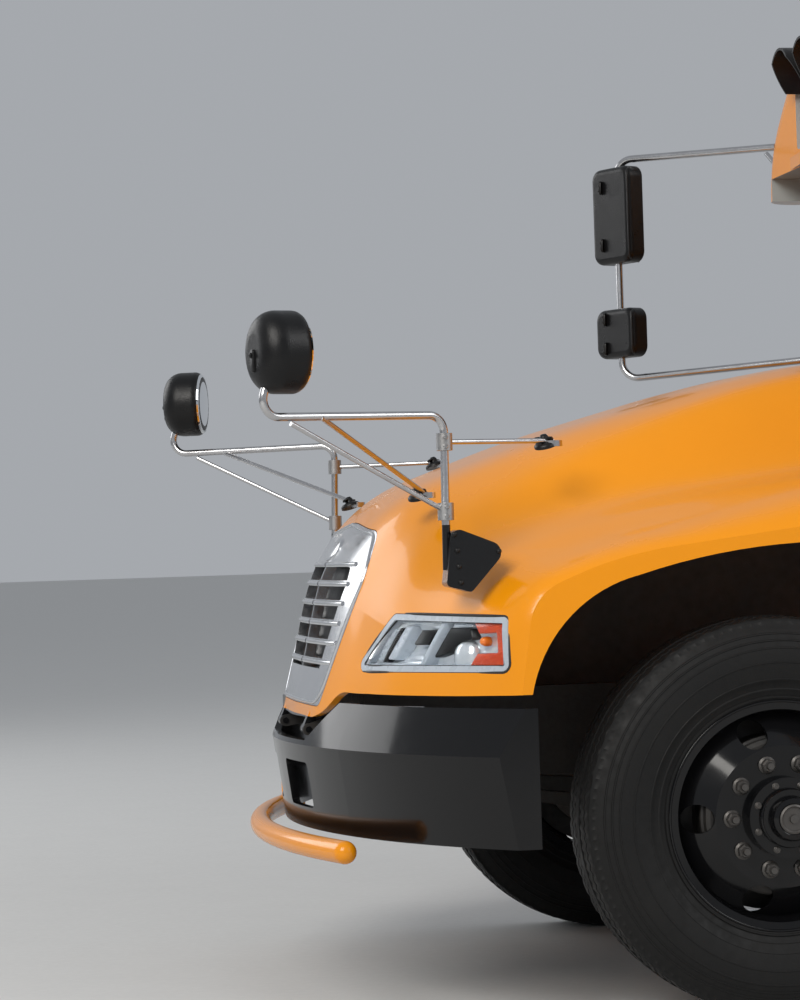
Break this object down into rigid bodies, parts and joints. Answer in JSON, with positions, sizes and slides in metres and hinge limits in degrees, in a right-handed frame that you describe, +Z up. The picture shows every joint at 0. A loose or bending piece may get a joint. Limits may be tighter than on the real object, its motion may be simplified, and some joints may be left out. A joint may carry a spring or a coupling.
{
  "type": "school bus",
  "caption": "Conventional school bus with a tilting nose, rounded roof, windowed body, dual rear wheels, two-leaf entry door, rear door, stop arm and crossing gate.",
  "frame": {"origin": "on the ground, under the middle of the whole bus", "axes": "+X forward along the bus, +Y to the driver's side (left), +Z up"},
  "size_m": [11.1395, 3.2146, 3.455],
  "materials": {
    "body_paint": "gloss",
    "roof_paint": "gloss",
    "black_trim": "gloss",
    "black_metal": "semi-gloss",
    "chassis_steel": "satin",
    "bright_steel": "brushed",
    "grille_chrome": "polished",
    "tyre_rubber": "matt",
    "glass": "clear",
    "clear_lens": "clear",
    "red_lens": "gloss",
    "amber_lens": "gloss",
    "seat_cover": "grained",
    "floor_cover": "matt",
    "tank_steel": "satin",
    "cast_parts": "rough",
    "gate_paint": "gloss"
  },
  "bodies": {
    "bus": {"amber_lamps": "amber_lens", "cabin_floor": "floor_cover", "chassis_frame": "chassis_steel", "cowl": "body_paint", "driver_station": "seat_cover", "engine": "cast_parts", "entry_steps": "floor_cover", "exhaust": "bright_steel", "front_axle": "cast_parts", "front_bumper": "black_metal", "front_cap": "body_paint", "fuel_tank": "tank_steel", "gate_base": "black_metal", "lamp_visors": "black_trim", "leaf_springs": "chassis_steel", "left_wall": "body_paint", "mirror_arms": "bright_steel", "mirror_heads": "black_trim", "rear_axle": "cast_parts", "rear_bumper": "black_metal", "rear_wall": "body_paint", "red_lamps": "red_lens", "right_wall": "body_paint", "roof": "roof_paint", "roof_vent": "black_trim", "rub_rails": "black_metal", "seat_frames": "chassis_steel", "seats": "seat_cover", "stop_bracket": "black_metal", "wheel_tubs": "floor_cover", "window_frames": "black_trim", "window_glass": "glass", "windshield": "glass", "wipers": "black_trim"},
    "nose": {"hood": "body_paint", "grille": "grille_chrome", "headlamps": "clear_lens", "crossview_arms": "bright_steel", "crossview_heads": "black_trim"},
    "left_knuckle": {"knuckle_left": "cast_parts"},
    "right_knuckle": {"knuckle_right": "cast_parts"},
    "tie_bar": {"tie_rod": "chassis_steel"},
    "front_left_wheel": {"front_left_tyre": "tyre_rubber", "front_left_rim": "black_metal"},
    "front_right_wheel": {"front_right_tyre": "tyre_rubber", "front_right_rim": "black_metal"},
    "rear_left_wheels": {"rear_left_tyre": "tyre_rubber", "rear_left_rim": "black_metal"},
    "rear_right_wheels": {"rear_right_tyre": "tyre_rubber", "rear_right_rim": "black_metal"},
    "entry_leaf_front": {"entry_door_front": "body_paint"},
    "entry_leaf_rear": {"entry_door_rear": "body_paint"},
    "emergency_door": {"rear_door": "body_paint"},
    "crossing_gate": {"gate_arm": "gate_paint"},
    "stop_arm": {"stop_sign": "red_lens"},
    "front_hatch": {"hatch_front": "roof_paint"},
    "back_hatch": {"hatch_rear": "roof_paint"}
  },
  "joints": [
    {"name": "steer_left", "type": "hinge", "parent": "bus", "child": "left_knuckle", "pos_m": [4.165, 0.88, 0.526], "axis": [0, 0, 1], "range_deg": [-38, 38]},
    {"name": "steer_right", "type": "hinge", "parent": "bus", "child": "right_knuckle", "pos_m": [4.165, -0.88, 0.526], "axis": [0, 0, 1], "range_deg": [-38, 38]},
    {"name": "tie_bar_pivot", "type": "hinge", "parent": "left_knuckle", "child": "tie_bar", "pos_m": [3.985, 0.88, 0.411], "axis": [0, 0, 1], "range_deg": [-38, 38]},
    {"name": "spin_front_left", "type": "hinge", "parent": "left_knuckle", "child": "front_left_wheel", "pos_m": [4.165, 1.015, 0.526], "axis": [0, 1, 0], "continuous": true},
    {"name": "spin_front_right", "type": "hinge", "parent": "right_knuckle", "child": "front_right_wheel", "pos_m": [4.165, -1.015, 0.526], "axis": [0, 1, 0], "continuous": true},
    {"name": "spin_rear_left", "type": "hinge", "parent": "bus", "child": "rear_left_wheels", "pos_m": [-2.235, 0.88, 0.526], "axis": [0, 1, 0], "continuous": true},
    {"name": "spin_rear_right", "type": "hinge", "parent": "bus", "child": "rear_right_wheels", "pos_m": [-2.235, -0.88, 0.526], "axis": [0, 1, 0], "continuous": true},
    {"name": "nose_tilt", "type": "hinge", "parent": "bus", "child": "nose", "pos_m": [5.3, 0, 0.755], "axis": [0, 1, 0], "range_deg": [0, 60]},
    {"name": "entry_front_hinge", "type": "hinge", "parent": "bus", "child": "entry_leaf_front", "pos_m": [3.232, -1.209, 1.385], "axis": [0, 0, 1], "range_deg": [0, 90]},
    {"name": "entry_rear_hinge", "type": "hinge", "parent": "bus", "child": "entry_leaf_rear", "pos_m": [2.468, -1.209, 1.385], "axis": [0, 0, -1], "range_deg": [0, 90]},
    {"name": "rear_door_hinge", "type": "hinge", "parent": "bus", "child": "emergency_door", "pos_m": [-5.464, -0.477, 1.6775], "axis": [0, 0, 1], "range_deg": [0, 100]},
    {"name": "gate_hinge", "type": "hinge", "parent": "bus", "child": "crossing_gate", "pos_m": [5.195, -0.93, 0.455], "axis": [0, 0, -1], "range_deg": [0, 90]},
    {"name": "stop_arm_hinge", "type": "hinge", "parent": "bus", "child": "stop_arm", "pos_m": [2.465, 1.246, 1.48], "axis": [0, 0, -1], "range_deg": [0, 90]},
    {"name": "front_hatch_hinge", "type": "hinge", "parent": "bus", "child": "front_hatch", "pos_m": [-0.099, 0, 3.162], "axis": [0, -1, 0], "range_deg": [0, 40]},
    {"name": "back_hatch_hinge", "type": "hinge", "parent": "bus", "child": "back_hatch", "pos_m": [-3.599, 0, 3.162], "axis": [0, -1, 0], "range_deg": [0, 40]}
  ],
  "couplings": [
    {"joint": "steer_right", "follows": "steer_left", "ratio": 1},
    {"joint": "tie_bar_pivot", "follows": "steer_left", "ratio": -1},
    {"joint": "entry_rear_hinge", "follows": "entry_front_hinge", "ratio": 1}
  ]
}
